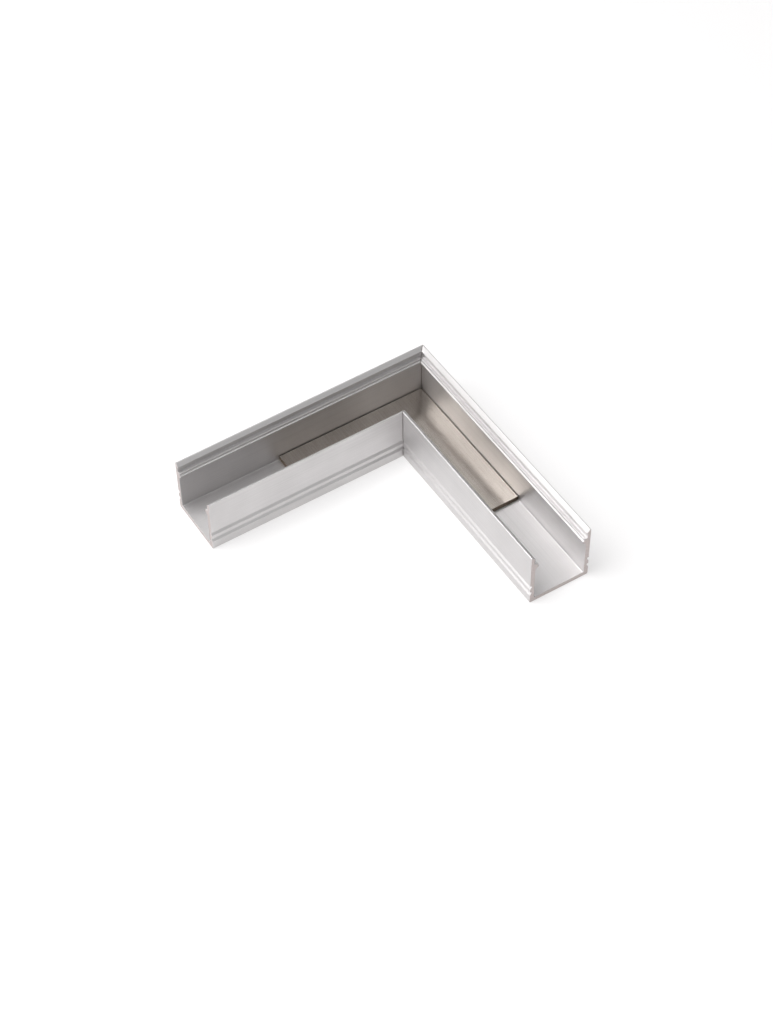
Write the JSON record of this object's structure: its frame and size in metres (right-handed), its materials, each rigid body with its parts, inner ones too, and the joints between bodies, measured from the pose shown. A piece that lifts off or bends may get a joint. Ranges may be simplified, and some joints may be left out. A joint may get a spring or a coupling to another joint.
{
  "type": "led profile corner connector",
  "caption": "Mitred right-angle corner for a surface-mounted light strip channel, with a steel joining plate on the channel floor.",
  "frame": {"origin": "where the centre lines of the two channels cross, on the flat back of the profile", "axes": "+X along the right arm to its sawn end, -Y along the left arm to its sawn end, +Z out of the channel's open side"},
  "size_m": [0.069, 0.069, 0.016],
  "materials": {
    "anodised_profile": "satin natural anodised, with fine lengthwise extrusion lines",
    "rolled_plate": "cold rolled and bare, with fine lengthwise scratches"
  },
  "bodies": {
    "root": {"right_arm": "anodised_profile", "left_arm": "anodised_profile", "corner_plate": "rolled_plate"}
  },
  "joints": []
}
